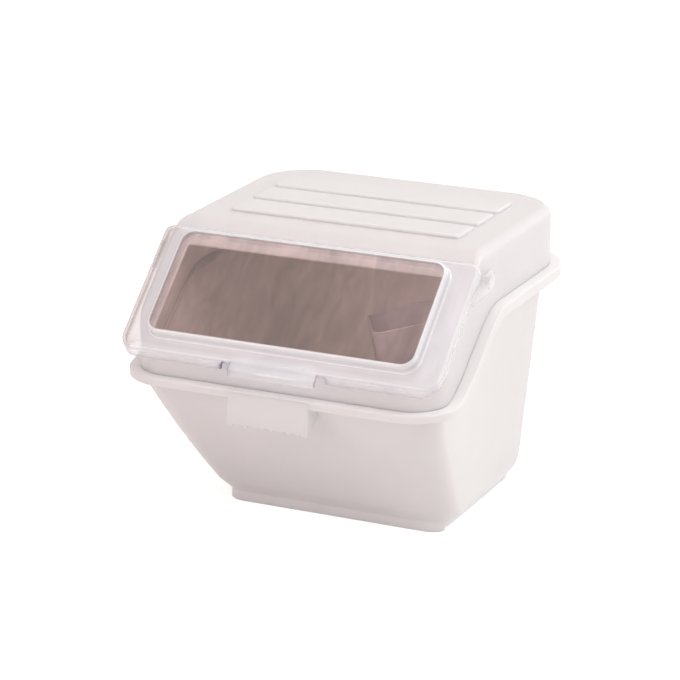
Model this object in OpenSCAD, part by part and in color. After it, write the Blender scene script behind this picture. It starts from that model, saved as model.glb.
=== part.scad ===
// Shelf flour bin: a tapered tub with a stepped rim, a lift-off hood, a clear lid that
// swings up on two studs, and a scoop in its clip. Millimetres, +Z up, front at -Y.
// The origin is on the ground under the middle of the whole bin.

/* [Rim of the tub] */
// Width over the rim
rim_w = 336; // [330:1:350]
// Depth over the rim
rim_d = 351; // [346:1:360]
// Radius of the rim's front corners seen from above
rim_r = 48; // [44:1:54]
// Radius of the rim's back corners seen from above
rim_back_r = 68; // [60:1:74]
// Height of the rim's ledge at the front
rim_front_z = 163; // [150:1:172]
// Height of the rim's ledge at the back
rim_back_z = 230; // [224:1:234]
// Distance from the rim's front to where its sides start to climb
step_start = 35; // [28:1:40]
// Length over which the sides of the rim climb
step_run = 125; // [110:1:135]
// Height of the turned-down skirt
skirt_h = 8; // [7:0.5:11]
// Thickness of the rim's flange and skirt
flange_t = 3; // [2.5:0.1:4]
// Distance from the rim's side edge to the tub's wall below it
side_reach = 14; // [12:0.5:15]
// Distance from the rim's front edge to the tub's wall below it
front_reach = 9.5; // [8.5:0.5:11]
// Distance from the rim's back edge to the tub's wall below it
back_reach = 23; // [20:0.5:25]
// Distance from the rim's edge to the hood's wall
ledge = 11; // [10:0.5:12]
// Height of the upstand that keeps the hood in place
upstand_h = 4; // [3:0.5:6]
// Thickness of the upstand
upstand_t = 2.2; // [1.8:0.1:2.6]

/* [Tub] */
// Thickness of the tub's wall
tub_wall = 3.2; // [2.5:0.1:4]
// Thickness of the tub's floor
floor_t = 3.5; // [3:0.1:5]
// Radius of the tub's front corners under the rim
tub_r = 31; // [26:1:36]
// Radius of the tub's back corners under the rim
tub_back_r = 56; // [48:1:60]
// Width of the base
base_w = 233; // [225:1:240]
// Depth of the base
base_d = 177; // [165:1:185]
// Corner radius of the base
base_r = 19; // [14:1:24]
// Distance from the rim's back edge to the base's back edge
base_back = 44; // [40:1:48]
// Height of the band round the base
band_h = 6.5; // [4:0.5:9]
// How far the wall swells out beyond the base at the sides and back
swell = 10; // [7:0.5:12]
// How far the wall swells out beyond the base at the front
front_swell = 1.6; // [1:0.2:4]
// How far the front wall bows out between rim and base
bow = 5.7; // [3:0.1:7]
// Height of the feet
foot_h = 4; // [3:0.5:6]
// Depth of each foot
foot_d = 10; // [8:1:14]
// Width of the back foot
back_foot_w = 150; // [120:1:170]
// Distance from the base's back edge to the back foot
back_foot_inset = 22; // [16:1:30]

/* [Pull flap] */
// Width of the flap under the front rim
flap_w = 82; // [60:1:100]
// How far the flap's middle lies to the right of the bin's middle
flap_x = -4; // [-8:0.5:8]
// Height of the flap below the skirt
flap_h = 25.5; // [20:0.5:34]
// Thickness of the flap
flap_t = 3; // [2.5:0.1:4]
// How far the flap's lower edge stands in front of the rim
flap_lean = 3.5; // [2:0.5:6]
// Number of teeth along the flap's lower edge
teeth = 9; // [8:1:11]
// Height of a tooth
tooth_h = 1.8; // [1:0.1:2.5]

/* [Hood] */
// Thickness of the hood's wall
hood_wall = 3; // [2.5:0.1:4]
// Height of the hood's flat top
hood_top = 287; // [280:1:300]
// Height where the sloping front frame starts
sill_z = 190; // [186:1:194]
// Slope of the front frame from the horizontal
slope = 42; // [40:1:44]
// Radius of the bend between the frame and the top
bend_r = 34; // [28:1:40]
// Radius of the hood's other top edges
top_r = 11; // [8:1:14]
// Gap between the hood and the ledge that it sits on
seat_gap = 0.6; // [0.5:0.05:0.8]
// Width of the mouth
mouth_w = 270; // [250:1:272]
// Distance up the slope to the mouth's lower edge
mouth_low = 18; // [14:1:24]
// Distance up the slope to the mouth's upper edge
mouth_high = 115; // [108:1:117]
// Corner radius of the mouth
mouth_r = 4; // [3:0.5:8]
// Number of raised bars on top
bars = 3; // [2:1:3]
// Width of a raised bar
bar_w = 238; // [200:1:250]
// Depth of a raised bar
bar_d = 38; // [30:1:40]
// Height of a raised bar
bar_h = 3.5; // [2:0.5:6]
// Spacing of the raised bars
bar_pitch = 48; // [44:1:50]
// Distance from the hood's back to the last bar
bar_back = 52; // [46:1:54]

/* [Lid] */
// Thickness of the clear lid
lid_t = 2.5; // [2:0.1:3]
// Thickness of the lid's skirts and ears
lid_skirt_t = 3; // [2.6:0.1:3.2]
// Gap between the lid and the sloping frame
lid_gap = 2.2; // [2:0.1:3]
// Gap between the lid's skirts and the hood
lid_side_gap = 2.5; // [2:0.1:3]
// Distance from the hood's front face to the lid's front face
lid_reach = 8; // [7:0.5:9]
// Height of the lid's lower edge
lid_low_z = 180.5; // [179:0.5:182]
// Distance up the slope to the lid's top edge
lid_high = 131; // [129:1:132]
// Depth of the side skirts below the lid's flange
lid_skirt = 8; // [7:0.5:12]
// Plan radius of the lid's front corners
lid_r = 13; // [11:1:18]
// Corner radius of the lid's upper corners
lid_top_r = 8; // [6:1:12]
// Length of an ear along the side of the lid
ear_l = 48; // [42:1:52]
// Height of the window above the flange
window_rise = 10.5; // [8:0.5:12]
// Width over the raised window
window_w = 276; // [250:1:284]
// Distance up the slope to the window's lower step
window_low = 8; // [6:1:12]
// Distance from the lid's top edge down to the window's upper step
window_top = 7.25; // [5:0.25:10]
// Corner radius of the raised window
window_r = 15; // [10:1:20]
// Width of the finger gap in the front skirt
grip_w = 106; // [90:1:120]
// Width of the finger tongue
tongue_w = 88; // [70:1:96]
// How far the tongue carries the slope on
tongue_run = 11; // [8:1:11]
// Height of the tongue's turned-down lip
tongue_lip = 6.5; // [4:0.5:8]

/* [Lid hinge] */
// Distance from the hood's front face to the pivot
pivot_y = 117.25; // [116.75:0.25:118]
// Height of the pivot
pivot_z = 259; // [258.75:0.25:259.5]
// Radius of the ear round the pivot
ear_r = 11.5; // [10:0.5:14]
// Diameter of the stud's shank
stud_d = 8; // [6:0.5:9]
// Running clearance on the stud's radius
stud_clear = 0.06; // [0.03:0.01:0.1]
// Diameter of the stud's head
head_d = 17; // [14:0.5:19]
// Thickness of the stud's head
head_t = 2; // [1.5:0.1:3]
// Diameter of the boss inside the hood
boss_d = 16; // [14:0.5:20]
// Length of the boss inside the hood
boss_l = 6; // [4:0.5:9]

/* [Scoop and clip] */
// Length of the scoop's bowl
bowl_l = 78; // [70:1:82]
// Width of the scoop's bowl
bowl_w = 66; // [56:1:70]
// Depth of the scoop's bowl
bowl_h = 46; // [36:1:52]
// Corner radius of the bowl
bowl_r = 13; // [8:1:18]
// Thickness of the bowl's wall
bowl_wall = 2; // [1.6:0.1:3]
// Width of the scoop's handle
handle_w = 20; // [14:1:26]
// Thickness of the scoop's handle
handle_t = 5; // [4:0.5:7]
// Height of the handle above the bowl's rim
handle_lift = 6; // [4:0.5:9]
// Tilt of the scoop, its bowl end low
scoop_tilt = 11; // [9:1:13]
// Turn of the scoop, its bowl towards the front
scoop_turn = 30; // [26:1:34]
// Gap between the handle's end and the clip's plate
handle_gap = 2; // [1:0.5:4]
// Distance from the hood's top down to the handle's underside at the clip's plate
handle_drop = 55; // [51:1:57]
// Length of the handle from the bowl to its end
handle_l = 34; // [30:1:38]
// Distance from the hood's front face to the handle's end
handle_y = 170; // [164:1:180]
// Length of the clip's channel along the handle
clip_l = 28; // [22:1:30]
// Thickness of the clip's plate, floor and cheeks
clip_t = 3; // [2.5:0.1:3.5]
// Distance from the hood's wall to the clip's plate
clip_stand = 8; // [7:0.5:10]
// Height of the clip's plate above the handle's underside
clip_rise = 28; // [24:1:32]
// Height of the pad that joins the plate to the hood's wall
clip_pad = 16; // [12:1:18]
// Height of the clip's cheeks above the handle's underside
clip_h = 12; // [8:1:13]
// Clearance between the handle and its clip
clip_clear = 0.4; // [0.3:0.05:0.6]

/* [Hidden] */
$fn = 64;

white = "#EFEDEB";
clear = [0.86, 0.86, 0.89, 0.45];

// Overlap that lets joined solids merge, and overshoot that carries cuts past faces
bite = 1;
past = 40;
// Least distance between facing edges that must never touch
safe = 0.5;
// Small step that keeps one face of a moulding inside another
thin = 0.3;
// Shares of a tooth's spacing left open, and of the flap's height where its cheeks meet the wall
tooth_gap = 0.35;
cheek_share = 0.4;

// Rim, hood and base places, in Y from the middle of the whole bin
rim_front = flap_lean / 2 - rim_d / 2;
rim_back = flap_lean / 2 + rim_d / 2;
rim_hw = rim_w / 2;
hood_front = rim_front + ledge;
hood_back = rim_back - ledge;
hood_hw = rim_hw - ledge;
hood_r = rim_r - ledge;
hood_back_r = rim_back_r - ledge;
base_rear = rim_back - base_back;
base_front = base_rear - base_d;
base_hw = base_w / 2;
wall_z = foot_h + band_h;

// Plan shapes: half width, front, back, front radius, back radius
rim_shape = [rim_hw, rim_front, rim_back, rim_r, rim_back_r];
hood_shape = [hood_hw, hood_front, hood_back, hood_r, hood_back_r];
mouth_shape = [rim_hw - side_reach, rim_front + front_reach, rim_back - back_reach, tub_r, tub_back_r];
base_shape = [base_hw, base_front, base_rear, base_r, base_r];
swell_shape = [base_hw + swell, base_front - front_swell, base_rear + swell, base_r + swell, base_r + swell];

// A plan shape drawn in by a distance
function inside(shape, e) = shape + e * [-1, 1, -1, -1, -1];

// Steps of the tub's mesh: points on a corner, places along a side, levels of the wall
corner_steps = 8;
side_steps = concat([for (k = [1:12]) k * 0.034], [0.55, 0.8]);
tuck_share = 0.1;
lofts = [0, 0.006, 0.02, 0.05, tuck_share, 0.3, 0.5, 0.7, 0.85, 1];

function lerp(a, b, t) = a + (b - a) * t;
function smooth(t) = t <= 0 ? 0 : t >= 1 ? 1 : t * t * (3 - 2 * t);

// Height of the rim's ledge at a place along the side
function rim_z(y) =
    rim_front_z + (rim_back_z - rim_front_z) * smooth((y - rim_front - step_start) / step_run);

function arc(cx, cy, r, a0, a1, steps) =
    [for (k = [0:steps]) let (a = lerp(a0, a1, k / steps)) [cx + r * cos(a), cy + r * sin(a)]];

// Rounded rectangle seen from above, as points that match from one level to the next
function outline(shape) = let (hw = shape[0], y0 = shape[1], y1 = shape[2], r0 = shape[3], r1 = shape[4]) concat(
    [for (f = side_steps) [hw, lerp(y0 + r0, y1 - r1, f)]],
    arc(hw - r1, y1 - r1, r1, 0, 90, corner_steps),
    arc(r1 - hw, y1 - r1, r1, 90, 180, corner_steps),
    [for (k = [len(side_steps) - 1:-1:0]) [-hw, lerp(y0 + r0, y1 - r1, side_steps[k])]],
    arc(r0 - hw, y0 + r0, r0, 180, 270, corner_steps),
    arc(hw - r0, y0 + r0, r0, 270, 360, corner_steps));

// An outline laid on the rim's ledge, raised or lowered from it
function rim_ring(shape, dz) = [for (p = outline(shape)) [p.x, p.y, rim_z(p.y) + dz]];
function flat_ring(shape, z) = [for (p = outline(shape)) [p.x, p.y, z]];

// The wall tucks in to the base over its lowest stretch, on a quarter ellipse
function tuck(t) = t >= tuck_share ? 0 : 1 - sqrt(1 - pow(1 - t / tuck_share, 2));

// Shape of the wall at a share of its height, and a ring of it drawn in by a distance
function wall_shape(t) =
    lerp(lerp(swell_shape, mouth_shape, t), base_shape, tuck(t)) - [0, bow * 4 * t * (1 - t), 0, 0, 0];
mouth_line = outline(mouth_shape);
function wall_ring(t, inset) = let (line = outline(inside(wall_shape(t), inset)))
    [for (k = [0:len(line) - 1])
        [line[k].x, line[k].y, lerp(wall_z, rim_z(mouth_line[k].y) - flange_t, t)]];

// Rings of the tub from its floor, up the inside, over the rim and down the outside
upstand_out = ledge + hood_wall + safe;
upstand_in = upstand_out + upstand_t;
floor_share = 0.06;
tub_rings = concat(
    [flat_ring(inside(base_shape, tub_wall), wall_z + floor_t)],
    [flat_ring(inside(wall_shape(floor_share), tub_wall), wall_z + floor_t + swell / 2)],
    [for (t = [tuck_share, 0.3, 0.5, 0.7, 0.85, 1]) wall_ring(t, tub_wall)],
    [rim_ring(inside(rim_shape, upstand_in), -flange_t)],
    [rim_ring(inside(rim_shape, upstand_in), upstand_h)],
    [rim_ring(inside(rim_shape, upstand_out), upstand_h)],
    [rim_ring(inside(rim_shape, upstand_out), 0)],
    [rim_ring(inside(rim_shape, flange_t / 2), 0)],
    [rim_ring(inside(rim_shape, flange_t / 7), -flange_t / 7)],
    [rim_ring(rim_shape, -flange_t / 2)],
    [rim_ring(rim_shape, -skirt_h)],
    [rim_ring(inside(rim_shape, flange_t), -skirt_h)],
    [rim_ring(inside(rim_shape, flange_t), -flange_t)],
    [for (k = [len(lofts) - 1:-1:0]) wall_ring(lofts[k], 0)],
    [flat_ring(base_shape, 0)]);

// Closed solid through a stack of rings with as many points each, capped from its middle
module ring_solid(rings) {
    n = len(rings[0]);
    m = len(rings);
    middle_y = (base_front + base_rear) / 2;
    caps = [[0, middle_y, rings[0][0].z], [0, middle_y, rings[m - 1][0].z]];
    sides = [for (k = [0:m - 2], i = [0:n - 1]) let (a = k * n + i, b = k * n + (i + 1) % n)
        each [[a, b, b + n], [a, b + n, a + n]]];
    first = [for (i = [0:n - 1]) [(i + 1) % n, i, m * n]];
    last = [for (i = [0:n - 1]) [(m - 1) * n + i, (m - 1) * n + (i + 1) % n, m * n + 1]];
    polyhedron(concat([for (ring = rings) each ring], caps), concat(first, sides, last), convexity = 8);
}

// Flat plan shape with true arcs
module plan(shape) {
    hw = shape[0];
    r0 = shape[3];
    r1 = shape[4];
    middle = (shape[1] + shape[2]) / 2;
    translate([-hw, shape[1] + r0]) square([2 * hw, shape[2] - shape[1] - r0 - r1]);
    translate([r0 - hw, shape[1]]) square([2 * (hw - r0), middle - shape[1]]);
    translate([r1 - hw, middle - bite]) square([2 * (hw - r1), shape[2] - middle + bite]);
    for (side = [-1, 1]) {
        translate([side * (hw - r0), shape[1] + r0]) circle(r0);
        translate([side * (hw - r1), shape[2] - r1]) circle(r1);
    }
}
module rounded(hw, y0, y1, r) { plan([hw, y0, y1, r, r]); }

// Extrudes a shape drawn in Y and Z along X
module across(x0, x1) {
    translate([x0, 0, 0]) rotate([90, 0, 90]) linear_extrude(x1 - x0) children();
}

// Carries a shape onto the sloping frame: X across, Y up the slope, Z out of it
module on_frame() {
    translate([0, hood_front, sill_z]) rotate([slope, 0, 0]) children();
}

// Space under the base that leaves the front foot, and the plain bar of the back foot
module foot_space() {
    translate([-base_w, base_front + foot_d, -bite]) cube([2 * base_w, base_d, foot_h + bite]);
}
module back_foot() {
    translate([-back_foot_w / 2, base_rear - back_foot_inset - foot_d, 0])
        cube([back_foot_w, foot_d, foot_h + bite]);
}

// Pull flap: a leaning plate between two cheeks that run back to the sloping wall
flap_top = rim_front_z - skirt_h;
flap_low = flap_top - flap_h;
// Front face of the wall at a height
function wall_front(z) = wall_shape((z - wall_z) / (rim_front_z - flange_t - wall_z))[1];

module flap() {
    edge_y = rim_front - flap_lean;
    edge_z = flap_low + tooth_h;
    root_z = flap_top + bite;
    plate = [[rim_front + thin, root_z], [edge_y, edge_z], [edge_y + flap_t, edge_z],
        [rim_front + flange_t - thin, root_z]];
    cheek_z = flap_low + flap_h * cheek_share;
    cheek_top = rim_front_z - flange_t / 2;
    cheek = [[edge_y + flap_t / 2, edge_z + thin], [wall_front(cheek_z) + tub_wall / 2, cheek_z],
        [wall_front(cheek_top) + tub_wall / 2, cheek_top], [rim_front + flange_t / 2, cheek_top],
        [rim_front + flange_t / 2, root_z]];
    pitch = flap_w / (teeth - tooth_gap);
    across(-flap_w / 2, flap_w / 2) polygon(plate);
    for (x = [thin - flap_w / 2, flap_w / 2 - flap_t - thin]) across(x, x + flap_t) polygon(cheek);
    for (k = [0:teeth - 1])
        translate([(k - (teeth - 1) / 2) * pitch, edge_y + flap_t / 2, flap_low])
            tooth(pitch * (1 - tooth_gap), flap_t - 2 * thin);
}

// A tooth, slightly narrower at its tip
module tooth(w, t) {
    tip = w * 0.8;
    hull() {
        translate([-w / 2, -t / 2, tooth_h]) cube([w, t, bite]);
        translate([-tip / 2, -t / 2, 0]) cube([tip, t, tooth_h]);
    }
}

module tub() {
    color(white) union() {
        difference() {
            ring_solid(tub_rings);
            foot_space();
        }
        back_foot();
        translate([flap_x, 0, 0]) flap();
    }
}

// Where the frame's plane, drawn in by a wall, meets the top
function frame_y(z, e) = hood_front + (z - sill_z) / tan(slope) + e / sin(slope);

// Side view of the hood, drawn in by a wall; its lower edge follows the rim
module hood_side(e, drop) {
    top = hood_top - e;
    r = bend_r - e;
    reach = r * tan(slope / 2);
    corner = frame_y(top, e);
    low = hood_front - bite;
    seam = [for (k = [0:60]) let (y = lerp(low, hood_back + bite, k / 60)) [y, rim_z(y) + seat_gap - drop]];
    bend = arc(corner + reach, top - r, r, 90, 90 + slope, 12);
    back = arc(hood_back - e - (top_r - e), top - (top_r - e), top_r - e, 0, 90, 8);
    polygon(concat(seam, [[hood_back + bite, top - top_r], [hood_back - e, top - top_r]], back, bend,
        [[low, sill_z - tan(slope) * bite - e / cos(slope)]]));
}

// Front view of the hood, drawn in by a wall, with its top edges rounded
module hood_end(e) {
    hw = hood_hw - e;
    r = top_r - e;
    top = hood_top - e;
    polygon(concat([[-hw, 0], [hw, 0]], arc(hw - r, top - r, r, 0, 90, 8), arc(r - hw, top - r, r, 90, 180, 8)));
}

module hood_block(e, drop) {
    intersection() {
        linear_extrude(hood_top) plan(inside(hood_shape, e));
        across(-hood_hw, hood_hw) hood_side(e, drop);
        translate([0, hood_back, 0]) rotate([90, 0, 0]) linear_extrude(hood_back - hood_front) hood_end(e);
    }
}

pivot = [hood_front + pivot_y, pivot_z];

// A cylinder along X on the lid's pivot
module on_pivot(x0, x1, d) {
    translate([x0, pivot.x, pivot.y]) rotate([0, 90, 0]) cylinder(d = d, h = x1 - x0);
}

bar_lift = bar_h + bite;

module hood() {
    wall_in = hood_hw - hood_wall;
    color(white) difference() {
        union() {
            difference() {
                hood_block(0, 0);
                hood_block(hood_wall, past);
            }
            for (k = [0:bars - 1])
                translate([0, hood_back - bar_back - bar_d - k * bar_pitch, hood_top - bite])
                    linear_extrude(bar_lift) rounded(bar_w / 2, 0, bar_d, bar_h);
            for (side = [-1, 1])
                on_pivot(side < 0 ? -wall_in - bite : wall_in - boss_l,
                    side < 0 ? boss_l - wall_in : wall_in + bite, boss_d);
        }
        on_frame() translate([0, 0, -past / 2])
            linear_extrude(past) rounded(mouth_w / 2, mouth_low, mouth_high, mouth_r);
        on_pivot(-rim_hw, rim_hw, stud_d + 2 * stud_clear);
    }
}

// Lid: outer faces, in X, in Y at the front, and in height above the sloping frame
lid_in = hood_hw + lid_side_gap;
lid_hw = lid_in + lid_skirt_t;
lid_front = hood_front - lid_reach;
flange_n = lid_gap + lid_t;
window_high = lid_high - window_top;

// A point on the sloping frame as Y and Z
function slope_yz(s, n) =
    [hood_front + s * cos(slope) - n * sin(slope), sill_z + s * sin(slope) + n * cos(slope)];
// Height of a plane that lies n above the frame, at a place in Y
function plane_z(y, n) = sill_z + (y - hood_front) * tan(slope) + n / cos(slope);

// Side view of the lid's skirted tray
module lid_side(n, front, s_top, low) {
    skirt_n = flange_n - lid_skirt;
    toe = hood_front + (lid_low_z - sill_z - skirt_n / cos(slope)) / tan(slope);
    polygon([[front, lid_low_z - low], [front, plane_z(front, n)], slope_yz(s_top, n),
        slope_yz(s_top, skirt_n - low), [toe + low, lid_low_z - low]]);
}

module lid_tray() {
    difference() {
        intersection() {
            linear_extrude(hood_top + past) rounded(lid_hw, lid_front, hood_back, lid_r);
            across(-lid_hw, lid_hw) lid_side(flange_n, lid_front, lid_high, 0);
            on_frame() translate([0, 0, -past])
                linear_extrude(2 * past) rounded(lid_hw, -past, lid_high, lid_top_r);
        }
        intersection() {
            linear_extrude(hood_top + past)
                rounded(lid_in, lid_front + lid_skirt_t, hood_back - lid_skirt_t, lid_r - lid_skirt_t);
            across(-lid_hw, lid_hw)
                lid_side(lid_gap, lid_front - bite, lid_high + past, past);
        }
    }
}

// Block of the raised window, drawn in by a wall
module window_block(e, low_n) {
    on_frame() translate([0, 0, low_n])
        linear_extrude(flange_n + window_rise - e - low_n)
            rounded(window_w / 2 - e, window_low + e, window_high - e, window_r - e);
}

// Ear from the upper end of a side skirt back to the pivot
module ear_side() {
    top = slope_yz(lid_high - lid_top_r, flange_n - lid_t);
    low = slope_yz(lid_high - ear_l, flange_n - lid_skirt);
    up = [cos(slope), sin(slope)];
    translate(pivot) circle(ear_r);
    polygon([top, pivot + ear_r * up, pivot, pivot - [0, ear_r], low, slope_yz(lid_high - ear_l, flange_n - lid_t)]);
}

// Finger tongue: carries the slope on past the skirt and turns down in a lip
module tongue_side() {
    start = slope_yz(lid_reach, flange_n);
    tip = slope_yz(-lid_reach / 2 - tongue_run, flange_n);
    under = slope_yz(lid_reach, lid_gap);
    back = [tip.x + lid_t, tip.y];
    polygon([start, tip, [tip.x, tip.y - tongue_lip], [back.x, tip.y - tongue_lip],
        [back.x, plane_z(back.x, lid_gap)], under]);
}

module lid() {
    color(clear) difference() {
        union() {
            difference() {
                lid_tray();
                translate([-grip_w / 2, lid_front - bite, 0])
                    cube([grip_w, lid_reach + bite - safe, plane_z(lid_front, lid_gap)]);
            }
            window_block(0, lid_gap);
            for (side = [-1, 1])
                across(side < 0 ? -lid_hw : lid_in, side < 0 ? -lid_in : lid_hw) ear_side();
            across(-tongue_w / 2, tongue_w / 2) tongue_side();
        }
        window_block(lid_t, lid_gap - bite);
        on_pivot(-rim_hw, rim_hw, stud_d);
    }
}

// Stud: a round head outside the ear and a shank through the ear and the hood's boss
module hinge_stud(side) {
    reach = lid_hw - (hood_hw - hood_wall - boss_l) + bite;
    edge = head_t / 3;
    profile = [[0, -reach], [stud_d / 2 - edge, -reach], [stud_d / 2, edge - reach], [stud_d / 2, 0],
        [head_d / 2, 0], [head_d / 2, head_t - edge], [head_d / 2 - edge, head_t], [0, head_t]];
    color(clear) translate([side * lid_hw, pivot.x, pivot.y])
        rotate([0, side * 90, 0]) rotate_extrude() polygon(profile);
}
module hinge_stud_left() { hinge_stud(-1); }
module hinge_stud_right() { hinge_stud(1); }

// Places the scoop's own frame: X along the handle towards the wall, Z off its underside
wall_x = hood_hw - hood_wall;
handle_z = hood_top - handle_drop;
clip_x = wall_x - clip_stand - clip_t;
module on_handle() {
    translate([clip_x, hood_front + handle_y, handle_z])
        rotate([0, 0, scoop_turn]) rotate([0, -scoop_tilt, 0]) children();
}
handle_end = -(handle_gap + handle_w / 2 * sin(scoop_turn)) / cos(scoop_turn);
bowl_end = handle_end - handle_l;

module bowl_block(e, z0) {
    translate([0, 0, z0]) linear_extrude(-handle_lift - z0)
        translate([bowl_end - bowl_l / 2, 0]) rotate(90)
            rounded(bowl_w / 2 - e, e - bowl_l / 2, bowl_l / 2 - e, bowl_r - e);
}

module scoop() {
    floor_z = -handle_lift - bowl_h;
    color(clear) on_handle() union() {
        difference() {
            bowl_block(0, floor_z);
            translate([0, 0, bite]) bowl_block(bowl_wall, floor_z + bowl_wall - bite);
        }
        translate([bowl_end - bowl_wall, -handle_w / 2, 0]) cube([handle_end - bowl_end + bowl_wall, handle_w, handle_t]);
        translate([bowl_end - bowl_wall, -handle_w / 2, -handle_lift - bite])
            cube([bowl_wall, handle_w, handle_lift + handle_t + bite]);
    }
}

// Clip: a plate held off the hood's wall by a pad, and a channel that carries the handle
module scoop_clip() {
    gap_w = handle_w + 2 * clip_clear;
    plate_w = (gap_w + 4 * clip_t) / cos(scoop_turn);
    low = clip_clear + 3 * clip_t;
    color(white) union() {
        intersection() {
            on_handle() difference() {
                translate([handle_end - clip_l, -gap_w / 2 - clip_t, -clip_clear - clip_t])
                    cube([clip_l + past, gap_w + 2 * clip_t, clip_t + clip_clear + clip_h]);
                translate([handle_end - clip_l - bite, -gap_w / 2, -clip_clear])
                    cube([clip_l + 2 * past, gap_w, clip_h + clip_clear + bite]);
            }
            translate([0, hood_front, 0]) cube([clip_x + bite, hood_back - hood_front, hood_top]);
        }
        translate([clip_x, hood_front + handle_y - plate_w / 2, handle_z - low])
            cube([clip_t, plate_w, low + clip_rise]);
        translate([clip_x, hood_front + handle_y - plate_w / 2, handle_z + clip_rise - clip_pad])
            cube([wall_x - clip_x, plate_w, clip_pad]);
    }
}

tub();
hood();
lid();
hinge_stud_left();
hinge_stud_right();
scoop();
scoop_clip();
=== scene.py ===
"""Dresses a shelf flour bin: a white tapered tub, its lift-off hood, a clear flip-up lid and a scoop.

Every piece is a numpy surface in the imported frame, worked out in millimetres and stored in metres,
with +X to the right, +Y to the back and +Z up.
"""

import logging
import math
from dataclasses import dataclass
from enum import Enum
from typing import NamedTuple

import bpy
import numpy as np
from bpy.types import Material, Mesh, Node, NodeTree, Object
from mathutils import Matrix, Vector
from numpy.typing import NDArray


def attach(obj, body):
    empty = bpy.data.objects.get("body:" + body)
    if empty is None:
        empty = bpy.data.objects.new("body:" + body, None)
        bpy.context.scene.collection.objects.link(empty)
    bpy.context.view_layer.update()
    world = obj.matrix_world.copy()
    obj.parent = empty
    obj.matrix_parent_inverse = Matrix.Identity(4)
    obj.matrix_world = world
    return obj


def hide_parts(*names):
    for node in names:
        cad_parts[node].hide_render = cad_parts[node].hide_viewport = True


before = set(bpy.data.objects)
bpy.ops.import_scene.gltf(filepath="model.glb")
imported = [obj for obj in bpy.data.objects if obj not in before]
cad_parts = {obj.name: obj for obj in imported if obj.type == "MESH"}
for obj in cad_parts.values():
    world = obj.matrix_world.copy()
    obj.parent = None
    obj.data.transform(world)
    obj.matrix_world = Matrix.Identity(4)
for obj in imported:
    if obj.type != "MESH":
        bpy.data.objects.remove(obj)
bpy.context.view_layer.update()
LOG = logging.getLogger("flour_bin")
MM = 0.001
SHARP_ANGLE = math.radians(40)
PURE_WHITE = "#FFFFFF"
Array = NDArray[np.float64]
Pair = tuple[float, float]
Triple = tuple[float, float, float]
Points = tuple[Pair, ...]


class Body(Enum):
    """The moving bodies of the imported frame."""

    BIN = "bin"
    COVER = "cover"
    LID = "flip_lid"
    SCOOP = "hand_scoop"


class Slot(Enum):
    """The record's material slots."""

    WHITE = "white_plastic"
    CLEAR = "clear_plastic"
    SCOOP = "scoop_plastic"


class Side(Enum):
    """The two sides of the bin, by the sign of X."""

    LEFT = -1
    RIGHT = 1

    def label(self, stem: str) -> str:
        """Names a piece or node on this side."""
        return f"{stem}_{self.name.lower()}"


def linear(code: str) -> tuple[float, float, float, float]:
    """Turns an sRGB hex colour into linear light.

    Args:
        code: six hex digits after a hash sign.

    Returns:
        Linear red, green and blue, with an alpha of one.
    """
    parts = np.array([int(code[k:k + 2], 16) for k in (1, 3, 5)]) / 255
    light = np.where(parts <= 0.04045, parts / 12.92, ((parts + 0.055) / 1.055) ** 2.4)
    return (float(light[0]), float(light[1]), float(light[2]), 1.0)


def add_node(tree: NodeTree, kind: str, values: dict | None = None, links: dict | None = None,
             **settings: str | bool) -> Node:
    """Adds a shader node with its settings, socket values and incoming links.

    Args:
        tree: the node tree that gets the node.
        kind: Blender's type name of the node, after the word ShaderNode.
        values: values of input sockets, by name or number.
        links: what feeds input sockets, by name or number: an output, or a node for its first output.
        settings: attributes of the node.

    Returns:
        The new node.
    """
    node = tree.nodes.new("ShaderNode" + kind)
    for name, value in settings.items():
        setattr(node, name, value)
    for key, value in (values or {}).items():
        node.inputs[key].default_value = value
    for key, source in (links or {}).items():
        output = source.outputs[0] if isinstance(source, Node) else source
        tree.links.new(output, node.inputs[key])
    return node


def looking_rays(tree: NodeTree) -> Node:
    """Tells looking rays from light.

    Args:
        tree: the node tree that gets the nodes.

    Returns:
        A node that gives 1 for rays that look straight, in a gloss or through a skin, and 0 for the rest.
    """
    path = add_node(tree, "LightPath")
    total = path.outputs["Is Camera Ray"]
    for kind in ("Is Glossy Ray", "Is Transmission Ray"):
        total = add_node(tree, "Math", None, {0: total, 1: path.outputs[kind]},
                         operation="ADD", use_clamp=True)
    return total


def blank_material(name: str) -> tuple[Material, NodeTree]:
    """Makes an empty node material and returns it with its tree.

    Args:
        name: name of the material.

    Returns:
        The material and its node tree.
    """
    material = bpy.data.materials.new(name)
    material.use_nodes = True
    material.node_tree.nodes.clear()
    return material, material.node_tree


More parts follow.
